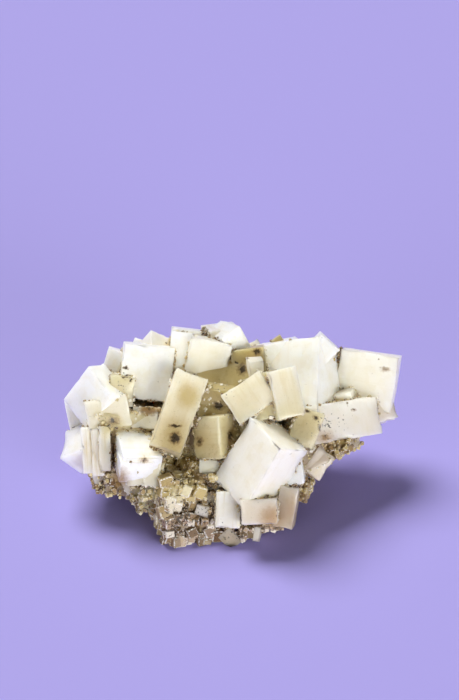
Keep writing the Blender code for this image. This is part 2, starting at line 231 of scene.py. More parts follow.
# The smooth blocks, with their upper and lower tints.
SMOOTH = {
    "middle": ("honey", "honey"),
    "left_wing": ("sand", "honey"),
    "right_wing": ("ivory", "sand"),
    "right_end": ("cream", "rose"),
    "right_under": ("rose", "rose"),
    "right_front": ("shell", "clay"),
}
CRUSTED = [name for name in LUMP if name not in SMOOTH]

blocks = {**crystals, **LUMP}
block_names = list(blocks)
BLOCK_CENTRES = np.array([row[0] for row in blocks.values()])
BLOCK_HALVES = np.array([row[1] for row in blocks.values()]) / 2
BLOCK_TURNS = np.array([turned(row[2]) for row in blocks.values()])
print(len(block_names), "blocks in all")

# %% [markdown]
# ## Noise from arithmetic
#
# Natural surfaces wander a little. The noise used here is made of plain arithmetic on arrays:
# every whole-number cell of space gets a scrambled number, and a point between cells takes a
# smooth mean of the eight round it. It gives the same result on every run.

# %% Smooth noise
def scrambled(cells, seed):
    """A number from 0 to 1 for each row of three whole numbers.

    The sine of a weighted sum of the three, times a large number, keeps only its fraction.
    """
    mixed = np.sin(cells @ np.array([12.9898, 78.233, 37.719]) + seed * 4.1414) * 43758.5453
    return mixed - np.floor(mixed)


def drift(points, length, seed):
    """Smooth noise from -1 to 1 that changes over about the given length.

    Corner values of the cell round each point are blended with weights t*t*(3 - 2*t), where t is
    the point's place in the cell along an axis.
    """
    scaled = points / length
    cell = np.floor(scaled)
    t = scaled - cell
    t = t * t * (3 - 2 * t)
    total = np.zeros(len(points))
    for corner in np.ndindex(2, 2, 2):
        weight = np.prod(np.where(np.array(corner) == 1, t, 1 - t), axis=1)
        total += weight * scrambled(cell + corner, seed)
    return 2 * total - 1


# %% [markdown]
# ## The skin of a crystal
#
# A crystal's skin is six grids of points, one on each face of its block. Lines lie close together
# near the edges, where the skin bends, and on each side of a growth step. Neighbouring grids
# share the points on their common edge, so the skin is closed.
#
# The sharp block then becomes a rounded one: each point is pulled to the block that is smaller by
# the radius, and pushed out again by the radius along the line between the two.

# %% Six grids round a block
GRID = 1.05
RADIUS = 0.28
STEP_GAP = 0.07


def grid_faces(rows, columns):
    """Four corner numbers for each cell of a grid of points."""
    number = np.arange(rows * columns).reshape(rows, columns)
    corners = [number[:-1, :-1], number[1:, :-1], number[1:, 1:], number[:-1, 1:]]
    return np.stack([corner.ravel() for corner in corners], axis=1)


def grid_lines(half, radius, shares, spacing):
    """Places of the grid's lines along one axis, from -half to half.

    Even lines fill the middle, one more lies where the rounding starts, and two lie on each side
    of every growth step, at its share of the half length.
    """
    flat = half - radius
    count = max(2, int(round(2 * flat / spacing))) + 1
    steps = [share * half + shift for share in shares for shift in (-STEP_GAP, STEP_GAP)]
    inner = np.linspace(-flat, flat, count)[1:-1]
    clear = np.array([abs(abs(place) - step) for step in steps for place in inner])
    if steps:
        inner = inner[clear.reshape(len(steps), -1).min(axis=0) > 2.2 * STEP_GAP]
    fixed = np.array([half, flat, *steps])
    return np.sort(np.concatenate([inner, fixed, -fixed]))


def block_skin(half, radius, shares=(), spacing=GRID):
    """Points on the faces of a sharp block, and the faces' corner numbers.

    On each face the points are (u, v) over the two other axes' lines. Points that two or three
    faces share are made one by rounding and sorting.
    """
    lines = [grid_lines(length, radius, shares, spacing) for length in half]
    places, faces, start = [], [], 0
    for axis in range(3):
        across, along = (axis + 1) % 3, (axis + 2) % 3
        u, v = np.meshgrid(lines[across], lines[along], indexing="ij")
        for sign in (-1, 1):
            sheet = np.empty((u.size, 3))
            sheet[:, axis] = sign * half[axis]
            sheet[:, across], sheet[:, along] = u.ravel(), v.ravel()
            cells = grid_faces(*u.shape) + start
            faces.append(cells if sign > 0 else cells[:, ::-1])
            places.append(sheet)
            start += u.size
    places = np.concatenate(places)
    _, first, index = np.unique(
        np.round(places, 4), axis=0, return_index=True, return_inverse=True
    )
    return places[first], index.reshape(-1)[np.concatenate(faces)]


def rounded(sharp, half, radius):
    """The sharp block's points on its rounded form, and the direction out of the skin there."""
    core = np.clip(sharp, radius - half, half - radius)
    out = sharp - core
    out /= np.linalg.norm(out, axis=1, keepdims=True)
    return core + radius * out, out


# %% [markdown]
# ## Growth steps, waves and chips
#
# A salt crystal grows in thin layers that start at a corner or in the middle of a face, so its
# faces carry low square plateaus. The faces are also not quite flat, and their edges are chipped
# and worn down. All are small moves of the points along the outward direction. Waves fade out at
# the edges, chips and wear are strongest there, and nothing goes in further than the deepest cut.

# %% Relief on the faces
STEP_SHARES = (0.82, 0.6)
STEP_HEIGHT = 0.4
STEPPED = {
    "terraced": (1, -1),
    "back_middle": (1, 1),
    "back_left_upper": (1, 1),
    "back_right_upper": (1, 1),
}
EDGE_FADE = 1.2
WAVE_HEIGHT, WAVE_LENGTH = 0.1, 3.2
CHIP_DEPTH, CHIP_WIDTH, CHIP_LENGTH, CHIP_SPACING = 0.8, 0.7, 1.9, 7.0
WORN_DEPTH, WORN_WIDTH, WORN_LENGTH = 0.6, 1.8, 8.0
DEEPEST = 0.8


def edge_gap(sharp, half):
    """How far each point of a face is from the nearest edge: the second smallest of its three
    distances to the block's sides, as the smallest is its own face's and is 0."""
    return np.sort(half - np.abs(sharp), axis=1)[:, 1]


def face_share(sharp, half):
    """0 in the middle of a face and 1 on its edges, with square contours."""
    return 1 - np.sort((half - np.abs(sharp)) / half, axis=1)[:, 1]


def relief(sharp, half, shares, face, seed):
    """The move of each point along the outward direction, in mm: waves, plus a step height for
    each square contour that the point is inside, less chips and wear, which fade with the square
    of the distance from the edge as a bell curve."""
    gap = edge_gap(sharp, half)
    fade = np.clip(gap / EDGE_FADE, 0, 1)
    move = WAVE_HEIGHT * drift(sharp, WAVE_LENGTH, seed) * fade
    share = face_share(sharp, half)
    if face is not None:
        axis, sign = face
        on_face = np.abs(sign * sharp[:, axis] - half[axis]) < 1e-6
        for step in shares:
            move += on_face * STEP_HEIGHT * (share < step)
    chip = np.clip((drift(sharp, CHIP_LENGTH, seed + 31) - 0.3) / 0.4, 0, 1)
    chip *= np.clip((drift(sharp, CHIP_SPACING, seed + 57) + 0.35) / 0.4, 0, 1)
    worn = np.clip((drift(sharp, WORN_LENGTH, seed + 77) - 0.05) / 0.5, 0, 1)
    move -= WORN_DEPTH * worn * np.exp(-((gap / WORN_WIDTH) ** 2))
    move -= CHIP_DEPTH * chip * np.exp(-((gap / CHIP_WIDTH) ** 2))
    return np.maximum(move, -DEEPEST)


# %% [markdown]
# ## How deep a place lies
#
# Between crystals the salt is painted brown and, deeper in, nearly black: partly for the clay that
# gathers there, and partly as painted shade, since little light comes in. To know where that is,
# every point sends short feelers out in ten directions over its own surface, and counts those that
# end inside another block. Open faces get 0 and deep gaps near 1.

# %% Feelers that find the gaps
FEELERS = 10
FEELER_LEAN = 0.95
REACHES = ((1.0, 1.0), (2.6, 0.9), (5.5, 0.65), (10.0, 0.4))


def even_directions(count):
    """Directions spread evenly over a ball: heights in equal steps, turned by the golden angle."""
    height = 1 - 2 * (np.arange(count) + 0.5) / count
    angle = np.arange(count) * math.pi * (3 - math.sqrt(5))
    ring = np.sqrt(1 - height**2)
    return np.stack([ring * np.cos(angle), ring * np.sin(angle), height], axis=1)


def inside_any(points, numbers, margin=0.0):
    """Whether each point is inside one of the numbered blocks, made larger by the margin."""
    found = np.zeros(len(points), bool)
    for number in numbers:
        local = (points - BLOCK_CENTRES[number]) @ BLOCK_TURNS[number]
        found |= (np.abs(local) < BLOCK_HALVES[number] + margin).all(axis=1)
    return found


def neighbours(low, high, reach, own):
    """The numbers of the blocks that may lie within reach of a box."""
    radius = np.linalg.norm(BLOCK_HALVES, axis=1)
    nearest = np.clip(BLOCK_CENTRES, low, high)
    distance = np.linalg.norm(BLOCK_CENTRES - nearest, axis=1)
    return [n for n in np.flatnonzero(distance < radius + reach) if n != own]


def crowding(points, normals, own=-1):
    """0 in the open and up to 1 in a gap. Each direction counts its nearest hit, and a hit
    further off counts less."""
    near = neighbours(points.min(axis=0), points.max(axis=0), REACHES[-1][0], own)
    total = np.zeros(len(points))
    for direction in even_directions(FEELERS):
        feeler = normals + FEELER_LEAN * direction
        feeler /= np.linalg.norm(feeler, axis=1, keepdims=True)
        hit = np.zeros(len(points))
        for reach, weight in REACHES:
            inside = inside_any(points + feeler * reach, near)
            hit = np.maximum(hit, weight * inside)
        total += hit
    return total / FEELERS


# %% [markdown]
# ## From arrays to a piece
#
# A piece is one mesh. Its colour and the other values that vary from point to point are stored
# on it as attributes, which the material reads: the tint, how deep the place lies, how near an
# edge it is, how far it looks to the front, how streaky its crystal is, and the point's place in
# its own crystal's axes, along which streaks run.

# %% Build a mesh with attributes
ATTRIBUTE_KINDS = {
    "tint": ("FLOAT_COLOR", "color"),
    "own": ("FLOAT_VECTOR", "vector"),
    "deep": ("FLOAT", "value"),
    "edge": ("FLOAT", "value"),
    "front": ("FLOAT", "value"),
    "streaky": ("FLOAT", "value"),
}
SHARP_ANGLE = math.radians(38)


def as_mesh(name, points, faces, **groups):
    """A mesh with its points moved to the solid's frame and made metres.

    Each group of values is stored on its own kind of element: POINT, CORNER or FACE.
    """
    mesh = bpy.data.meshes.new(name)
    mesh.from_pydata(((points - MIDDLE) * MM).tolist(), [], faces)
    for domain, group in groups.items():
        for key, value in group.items():
            kind, field = ATTRIBUTE_KINDS[key]
            attribute = mesh.attributes.new(key, kind, domain)
            attribute.data.foreach_set(field, value.astype(np.float32).ravel())
    return mesh


def as_piece(name, mesh):
    """An object at the origin. Its normals are smooth across an edge unless it bends by more
    than the sharp angle."""
    mesh.name = name
    mesh.shade_smooth()
    mesh.set_sharp_from_angle(angle=SHARP_ANGLE)
    piece = bpy.data.objects.new(name, mesh)
    bpy.context.scene.collection.objects.link(piece)
    mesh.calc_loop_triangles()
    print(name, len(mesh.loop_triangles), "triangles")
    return piece


def fused(name, parts):
    """One closed skin: the union of the parts' skins.

    Values are kept on the corners of the faces, so that two skins that meet keep their own.
    """
    helpers = []
    for number, (points, faces, values) in enumerate(parts):
        corners = {key: value[faces.ravel()] for key, value in values.items()}
        mesh = as_mesh(name, points, faces.tolist(), CORNER=corners)
        helpers.append(bpy.data.objects.new(f"{name}_{number}", mesh))
    first = helpers[0]
    group = bpy.data.collections.new(name)
    bpy.context.scene.collection.objects.link(first)
    bpy.context.scene.collection.children.link(group)
    for helper in helpers[1:]:
        group.objects.link(helper)
    union = first.modifiers.new("grown_together", "BOOLEAN")
    union.operation = "UNION"
    union.operand_type = "COLLECTION"
    union.collection = group
    union.solver = "MANIFOLD"
    bpy.context.view_layer.update()
    whole = first.evaluated_get(bpy.context.evaluated_depsgraph_get())
    mesh = bpy.data.meshes.new_from_object(whole)
    mesh.materials.clear()
    for helper in helpers:
        bpy.data.meshes.remove(helper.data)
    bpy.data.collections.remove(group)
    return as_piece(name, mesh)


def as_colour(values):
    """Three columns of colour with a fourth of ones."""
    return np.concatenate([values, np.ones((len(values), 1))], axis=1)


# %% [markdown]
# ## Make the crystals
#
# Each crystal is its skin, rounded, moved by its relief, turned and carried to its place. Its
# tint fades from the upper to the lower one over its own height. A union then makes all of them,
# with the smooth blocks of the lump, one closed skin, as they are one piece of salt.

# %% One crystal
EDGE_WIDTH = 0.3
TINT_SHIFT, TINT_LENGTH = 0.25, 5.0
SMOOTH_RADIUS = 1.0

# The axis of a block that its streaks run along. The others take one by chance.
STREAK_AXIS = {
    "plate_a": 2, "plate_b": 2, "plate_c": 2, "right_large": 1, "central_cube": 0,
    "front_striated": 2, "front_brown_right": 2, "tall_central": 2, "left_lower": 0,
    "banded_left": 2, "banded_middle": 2, "banded_right": 2, "right_pink": 2, "terraced": 0,
}
# How strong the streaks are, where they are stronger than on most.
STREAKY = {
    "plate_a": 1.0, "plate_b": 1.0, "plate_c": 1.0, "central_cube": 0.9, "front_striated": 0.8,
    "banded_left": 0.45, "banded_middle": 0.6, "banded_right": 0.35, "tall_central": 0.4,
    "right_pink": 0.8, "terraced": 0.2, "top_tan": 0.5, "top_white": 0.4, "front_brown_right": 0.6,
}
# The share of the painted shade and clay brown in the gaps round these crystals, where less of it
# is painted.
SHADE_AND_CLAY_SHARE = {
    "central_cube": 0.35, "small_khaki": 0.5, "front_white": 0.35, "spotted": 0.7,
    "front_striated": 0.6, "upper_left": 0.6, "right_far": 0.7, "right_large": 0.6,
    "top_white": 0.5, "top_tan": 0.5, "terraced": 0.7, "banded_left": 0.7, "banded_right": 0.7,
}
FAINT_STREAKS = 0.1


def smooth(value, low, high):
    """0 below low and 1 above high, with t*t*(3 - 2*t) between."""
    t = np.clip((value - low) / (high - low), 0, 1)
    return t * t * (3 - 2 * t)


def facing(normals):
    """1 where a skin looks to the front, and 0 at its sides and back."""
    return smooth(normals @ TOWARD, 0.1, 0.35)


def grow(name, upper, lower, radius=RADIUS):
    """The points, faces and attributes of one large crystal."""
    number = block_names.index(name)
    centre, size, turn = blocks[name][:3]
    half, matrix, seed = np.array(size) / 2, turned(turn), number * 3.7
    choice = random.Random(name)
    face = STEPPED.get(name)
    shares = STEP_SHARES if face else ()
    sharp, faces = block_skin(half, radius, shares)
    skin, out = rounded(sharp, half, radius)
    skin = skin + out * relief(sharp, half, shares, face, seed)[:, None]
    points, normals = skin @ matrix.T + centre, out @ matrix.T
    points[:, 2] = np.maximum(points[:, 2], 0.0)
    height = points[:, 2] - points[:, 2].min()
    rise = height / height.max()
    rise = np.clip(rise + TINT_SHIFT * drift(points, TINT_LENGTH, seed), 0, 1)[:, None]
    tint = TINTS[upper] * rise + TINTS[lower] * (1 - rise)
    # The streaks' axis comes last, and each crystal reads its own part of the noise.
    axis = STREAK_AXIS.get(name, choice.randrange(3))
    own = np.roll(skin, 2 - axis, axis=1) + [choice.uniform(0, 90) for _ in range(3)]
    values = {
        "tint": as_colour(tint),
        # deep: how crowded the place is; the material paints shade and clay brown from it.
        "deep": crowding(points, normals, number) * SHADE_AND_CLAY_SHARE.get(name, 1.0),
        "front": facing(normals),
        # edge: near 1 along the edges, where the material paints a highlight.
        "edge": np.exp(-((edge_gap(sharp, half) / EDGE_WIDTH) ** 2)),
        "own": own,
        "streaky": np.full(len(points), STREAKY.get(name, FAINT_STREAKS)),
    }
    return points, faces, values


grown = [grow(name, *row[3:]) for name, row in crystals.items()]
grown += [grow(name, *tints, radius=SMOOTH_RADIUS) for name, tints in SMOOTH.items()]
pieces = {"crystals": fused("crystals", grown)}

# %% [markdown]
# ## Make the lump
#
# The lump's blocks are skins like the crystals', with rougher relief: a coarse drift for its
# swellings, and finer noise cut into levels for the corners of many tiny cubes.

# %% The tints of the crust
CRUST_RAMPS = {
    "foot": ("umber", "umber", "earth", "clay", "rose"),
    "root": ("tea", "amber", "honey", "sand"),
    "left": ("umber", "tea", "honey", "ivory"),
    "joint": ("tea", "amber", "sand", "ivory", "cream"),
}
TINT_PATCH = 4.0
ROOT_RISE = (13.0, 19.0)
LEFT_START = (21.0, 25.0)


def crust_tint(points, spread, seed, zone=None):
    """The crust's tint at each point: grey brown at the foot, dark olive near the roots of the
    crystals and khaki on the left, unless one zone is named. Noise of the given spread picks a
    place on each ramp."""
    chance = np.random.default_rng(seed).normal(0, 1, len(points))
    pick = np.clip(0.5 + 0.7 * drift(points, TINT_PATCH, 3) + spread * chance, 0, 1)
    ramps = {}
    for key, names in CRUST_RAMPS.items():
        tints = np.array([TINTS[name] for name in names])
        stops = np.linspace(0, 1, len(names))
        ramps[key] = np.stack([np.interp(pick, stops, column) for column in tints.T], axis=1)
    if zone:
        return ramps[zone]
    rise = (points[:, 1] - LUMP_FRONT) * math.sin(VIEW_DOWN) + points[:, 2] * math.cos(VIEW_DOWN)
    root = smooth(rise, *ROOT_RISE)[:, None]
    left = smooth(-points[:, 0], *LEFT_START)[:, None]
    low = ramps["foot"] * (1 - left) + ramps["left"] * left
    return low * (1 - root) + ramps["root"] * root


# %% The rough blocks
LUMP_GRID, LUMP_RADIUS, LUMP_SHADE = 0.8, 1.2, 0.8
SWELL_HEIGHT, SWELL_LENGTH = 0.55, 6.0
LEVELS, LEVEL_HEIGHT, LEVEL_LENGTH = 3, 0.5, 1.5
SUNK = 0.1


def rough_block(name):
    """One block of the lump, with its relief in levels."""
    number = block_names.index(name)
    centre, size, turn, _ = LUMP[name]
    half, matrix = np.array(size) / 2, turned(turn)
    sharp, faces = block_skin(half, LUMP_RADIUS, (), LUMP_GRID)
    skin, out = rounded(sharp, half, LUMP_RADIUS)
    swell = SWELL_HEIGHT * drift(skin, SWELL_LENGTH, number)
    levels = np.floor(LEVELS * drift(skin, LEVEL_LENGTH, number + 9)) / LEVELS
    skin = skin + out * (swell + LEVEL_HEIGHT * levels - SUNK)[:, None]
    points, normals = skin @ matrix.T + centre, out @ matrix.T
    points[:, 2] = np.maximum(points[:, 2], 0.0)
    values = {
        "tint": as_colour(LUMP_SHADE * crust_tint(points, 0.0, number)),
        # deep: how crowded the place is; the lump's gaps get painted shade and clay brown from it.
        "deep": crowding(points, normals, number),
        "front": facing(normals),
        # On the lump the raised levels get a weaker painted highlight.
        "edge": np.clip(levels, 0, 1) * 0.5,
        "own": skin + 40.0 * number,
        "streaky": np.zeros(len(points)),
    }
    return points, faces, values


pieces["lump"] = fused("salt_lump", [rough_block(name) for name in CRUSTED])

# %% [markdown]
# ## Make the crust
#
# The crust is thousands of small cubes. Each is the same little form: a cube whose corners and
# edges are cut off, with six square faces, twelve narrow ones and eight triangles. The whole
# crust is that form times the cubes' sizes, turned by their matrices, in one array product.

# %% The little cube
CUT = 0.1


def cut_cube(cut):
    """Points and faces of a cube of side 1 whose corners and edges are cut off.

    Its 24 points have one coordinate of plus or minus a half and two that are smaller by the cut.
    It has a face for each of the 26 directions made of -1, 0 and 1. A face's points are those
    furthest along its direction, in the order of their angle round it.
    """
    signs = np.array(list(itertools.product((-1, 1), repeat=3)))
    sides = [signs * np.where(np.arange(3) == axis, 0.5, 0.5 - cut) for axis in range(3)]
    points = np.concatenate(sides)
    faces = []
    for direction in itertools.product((-1, 0, 1), repeat=3):
        if not any(direction):
            continue
        reach = points @ direction
        ring = np.flatnonzero(reach > reach.max() - 1e-6)
        first = points[ring[0]] - points[ring].mean(axis=0)
        second = np.cross(direction, first)
        offsets = points[ring] - points[ring].mean(axis=0)
        angle = np.arctan2(offsets @ second / np.linalg.norm(direction), offsets @ first)
        faces.append(ring[np.argsort(angle)])
    return points, faces


CUBE_POINTS, CUBE_FACES = cut_cube(CUT)
# 0 on the six square faces, which are flat along one axis, and 1 on the cut edges and corners,
# where the painted highlight goes.
CUBE_RIM = np.array([np.ptp(CUBE_POINTS[face], axis=0).min() > CUT / 2 for face in CUBE_FACES])
print("the little cube has", len(CUBE_POINTS), "points and", len(CUBE_FACES), "faces")

# %% [markdown]
# The solid model already carries the middling cubes, about 2 to 4 mm wide. The same random draws,
# in the same order, give them here again, so that the crust reaches as far as the solid does. A
# cube whose place another block covers is left out.

# %% The middling cubes
SEED = 7
CRUST_CUBE = (1.7, 4.0)
CRUST_SHAPE = (0.8, 1.2)
CRUST_SUNK = 0.15
CRUST_TILT = 24
CRUST_MARGIN = 0.4
CRUST_LOWEST = 0.5


def side_areas(size):
    """The areas of a block's sides across X, Y and Z."""
    return np.array([size[1] * size[2], size[0] * size[2], size[0] * size[1]])


def covered(points, own, margin):
    """Whether each point is inside another block that is larger by the margin."""
    return inside_any(points, [n for n in range(len(block_names)) if n != own], margin)


def middling_cubes(name):
    """Centres, sizes, turns and outward directions of the cubes on one block of the lump."""
    centre, size, turn, count = LUMP[name]
    rng = random.Random(f"{name} {SEED}")
    areas = side_areas(size).tolist()
    places, shapes, tilts, outs = [], [], [], []
    for _ in range(count):
        axis = rng.choices(range(3), weights=areas)[0]
        place = [rng.uniform(-0.5, 0.5) * length for length in size]
        place[axis] = math.copysign(size[axis] / 2, place[axis])
        edge = rng.uniform(*CRUST_CUBE)
        tilts.append(turned([rng.uniform(-CRUST_TILT, CRUST_TILT) for _ in range(3)]))
        shape = [edge * rng.uniform(*CRUST_SHAPE) for _ in range(3)]
        shape[axis] += edge * CRUST_SUNK
        places.append(place)
        shapes.append(shape)
        outs.append([math.copysign(1, place[i]) if i == axis else 0 for i in range(3)])
    matrix = turned(turn)
    centres, outs = np.array(places) @ matrix.T + centre, np.array(outs) @ matrix.T
    keep = ~covered(centres, block_names.index(name), CRUST_MARGIN)
    keep &= centres[:, 2] >= CRUST_LOWEST
    return centres[keep], np.array(shapes)[keep], (matrix @ np.array(tilts))[keep], outs[keep]


# %% [markdown]
# The fine cubes are about a millimetre wide. They cover the rough blocks and the small brown
# crystals near them, by one array of random numbers for each block, and sit at slightly
# different heights, which leaves little dark holes between them.

# %% The fine cubes
GRAINY = [
    "crust_cube_a", "crust_cube_b", "crust_cube_c", "strip_cube", "under_tip", "left_tip",
    "foot_pink", "foot_behind", "foot_brown", "foot_right", "right_mottled", "front_dark",
]
FINE_PER_MM2 = 0.42
FINE_EDGE = (0.55, 1.7)
FINE_SHAPE = (0.75, 1.3)
FINE_HEIGHT = (-0.5, 0.7)
FINE_TILT = 38
FINE_MARGIN = -0.1
FINE_LOWEST = 0.8
MOSTLY_SMALL = 1.6


def scattered(name, per_mm2, rng):
    """Random places on the sides of one block, in its own axes, and their outward directions. A
    side gets its share of them by its area."""
    size = np.array(blocks[name][1])
    areas = side_areas(size)
    count = int(2 * areas.sum() * per_mm2)
    axis = rng.choice(3, count, p=areas / areas.sum())
    places = rng.uniform(-0.5, 0.5, (count, 3)) * size
    row = np.arange(count)
    side = np.sign(places[row, axis])
    places[row, axis] = side * size[axis] / 2
    outs = np.zeros((count, 3))
    outs[row, axis] = side
    return places, outs


def fine_cubes(name):
    """Centres, sizes, turns and outward directions of the fine cubes on one block. The edges are
    a random number to a power above 1, so that most are small."""
    number = block_names.index(name)
    rng = np.random.default_rng(number)
    places, outs = scattered(name, FINE_PER_MM2, rng)
    count = len(places)
    places += outs * rng.uniform(*FINE_HEIGHT, count)[:, None]
    edge = FINE_EDGE[0] + (FINE_EDGE[1] - FINE_EDGE[0]) * rng.random(count) ** MOSTLY_SMALL
    shapes = edge[:, None] * rng.uniform(*FINE_SHAPE, (count, 3))
    tilts = rng.uniform(-FINE_TILT, FINE_TILT, (count, 3))
    matrix = turned(blocks[name][2])
    turns = matrix @ np.array([turned(angles) for angles in tilts])
    centres = places @ matrix.T + blocks[name][0]
    keep = ~covered(centres, number, FINE_MARGIN) & (centres[:, 2] >= FINE_LOWEST)
    return centres[keep], shapes[keep], turns[keep], (outs @ matrix.T)[keep]


# %% [markdown]
# Crumbs of salt and mud gather where the large crystals meet. They are the same little cube,
# half a millimetre wide, tried all over each crystal and kept only where its neighbours crowd it.
# The clean white crystals keep few, and the honey coloured salt between them keeps more.

# %% The grains in the joints
JOINT_PER_MM2 = 0.5
JOINT_EDGE = (0.3, 0.95)
JOINT_PATCH, JOINT_LENGTH = 0.12, 3.0
JOINT_SEED = 1000
# How crowded a place must be to keep its grains, for most crystals and for the grainier ones.
JOINT_DEPTH = 0.42
GRAINIER = {
    "left_between": 0.18, "left_strip": 0.15, "ledge_left": 0.25, "left_wing": 0.1, "middle": 0.15,
    "middle_khaki": 0.28, "top_olive": 0.25, "right_khaki": 0.3, "spotted": 0.25,
    "terraced_lower": 0.1, "terraced_side": 0.1, "strip": 0.1, "right_front": 0.2,
    "right_below": 0.38, "front_brown": 0.38, "foot_point": 0.2, "front_striated": 0.3,
}


def joint_grains(name):
    """Centres, sizes, turns and outward directions of the grains on one large crystal."""
    number = block_names.index(name)
    rng = np.random.default_rng(JOINT_SEED + number)
    places, outs = scattered(name, JOINT_PER_MM2, rng)
    matrix = turned(blocks[name][2])
    outs, centres = outs @ matrix.T, places @ matrix.T + blocks[name][0]
    keep = ~covered(centres, number, 0.0) & (centres[:, 2] >= FINE_LOWEST)
    centres, outs = centres[keep], outs[keep]
    crowd = crowding(centres, outs, number) + JOINT_PATCH * drift(centres, JOINT_LENGTH, 8)
    keep = crowd > GRAINIER.get(name, JOINT_DEPTH)
    centres, outs = centres[keep], outs[keep]
    edge = rng.uniform(*JOINT_EDGE, len(centres))
    shapes = edge[:, None] * rng.uniform(*FINE_SHAPE, (len(centres), 3))
    tilts = rng.uniform(-FINE_TILT, FINE_TILT, (len(centres), 3))
    turns = np.array([matrix @ turned(angles) for angles in tilts]).reshape(-1, 3, 3)
    return centres, shapes, turns, outs


# %% All the cubes as one piece
CUBE_SPREAD = 0.3
FAR_APART = 50


def cubes_piece(name, sets, seed, zone=None):
    """Every cube of the sets: the little cube times each size, turned and carried to its place.

    Each cube has one tint, and reads its own part of the noise.
    """
    centres, shapes, turns, outs = [np.concatenate(group) for group in zip(*sets)]
    count, each = len(centres), len(CUBE_POINTS)
    points = np.einsum("nij,nkj->nki", turns, CUBE_POINTS[None] * shapes[:, None, :])
    points += centres[:, None, :]
    points[..., 2] = np.maximum(points[..., 2], 0.0)
    tint = crust_tint(centres, CUBE_SPREAD, seed, zone)
    # How crowded each cube is; the crust's gaps get painted shade and clay brown from it.
    deep = crowding(centres + outs * 0.5, outs)
    shift = np.random.default_rng(seed).uniform(0, FAR_APART, (count, 1, 3))
    faces = [(face + start).tolist() for start in np.arange(count) * each for face in CUBE_FACES]
    values = {
        "tint": as_colour(np.repeat(tint, each, axis=0)),
        "deep": np.repeat(deep, each),
        "front": np.repeat(facing(outs), each),
        "own": (points + shift).reshape(-1, 3),
    }
    # The cut rims of each little cube get the painted highlight.
    rims = {"edge": np.tile(CUBE_RIM, count)}
    mesh = as_mesh(name, points.reshape(-1, 3), faces, POINT=values, FACE=rims)
    return as_piece(name, mesh)


MIDDLING = [middling_cubes(name) for name in LUMP if LUMP[name][3]]
FINE = [fine_cubes(name) for name in [*CRUSTED, *GRAINY]]
GRAINED = [name for side in (FRONT, LEFT, TOP, RIGHT, SMOOTH) for name in side]
JOINTS = [joint_grains(name) for name in GRAINED]
pieces["middling"] = cubes_piece("crust_middling", MIDDLING, 11)
pieces["fine"] = cubes_piece("crust_fine", FINE, 12)
pieces["joints"] = cubes_piece("joint_grains", JOINTS, 13, "joint")

# %% [markdown]
# ## The finish of the salt
#
# One function makes the two finishes: milky salt for the crystals, and crust. The colour starts
# from the tint, gets soft clouds and streaks, turns brown and then nearly black where the place
# lies deep, which is painted shade together with the brown of clay, is lighter along the edges as
# a painted highlight, and has veils, stains and specks of mud in named places.
# Light goes a little way into the milky salt, as subsurface scattering, and the honey coloured
# salt lets part of it through, as transmission with the refractive index of salt.

# %% Small helpers for nodes
SALT_IOR = 1.544


def add(tree, kind, inputs=(), **settings):
    """A new node with its settings, and a value or a link in each named or numbered input."""
    node = tree.nodes.new(kind)
    for key, value in settings.items():
        setattr(node, key, value)
    for key, value in dict(inputs).items():
        if isinstance(value, bpy.types.NodeSocket):
            tree.links.new(value, node.inputs[key])
        else:
            node.inputs[key].default_value = value
    return node


def noise(tree, vector, scale, detail=3.0, roughness=0.55):
    settings = {"Vector": vector, "Scale": scale, "Detail": detail, "Roughness": roughness}
    return add(tree, "ShaderNodeTexNoise", settings).outputs["Fac"]


def sum_of(tree, first, second, factor=1.0):
    """first + second * factor"""
    node = add(tree, "ShaderNodeMath", {0: second, 1: factor, 2: first}, operation="MULTIPLY_ADD")
    return node.outputs[0]


def product(tree, first, second):
    return add(tree, "ShaderNodeMath", {0: first, 1: second}, operation="MULTIPLY").outputs[0]


def larger(tree, first, second):
    return add(tree, "ShaderNodeMath", {0: first, 1: second}, operation="MAXIMUM").outputs[0]


def ease(tree, value, low, high, top=1.0):
    """0 below low, rising smoothly to the top value at high."""
    settings = {"Value": value, "From Min": low, "From Max": high, "To Min": 0.0, "To Max": top}
    node = add(tree, "ShaderNodeMapRange", settings, interpolation_type="SMOOTHSTEP")
    return node.outputs["Result"]


def blend(tree, factor, first, second):
    """From the first colour to the second as the factor goes from 0 to 1."""
    node = add(tree, "ShaderNodeMix", data_type="RGBA")
    for socket, value in ((0, factor), (6, first), (7, second)):
        if isinstance(value, bpy.types.NodeSocket):
            tree.links.new(value, node.inputs[socket])
        else:
            node.inputs[socket].default_value = value
    return node.outputs[2]


def attribute(tree, name, output="Fac"):
    return add(tree, "ShaderNodeAttribute", attribute_name=name).outputs[output]


def plain(name):
    """A tint as four numbers."""
    return (*TINTS[name], 1.0)
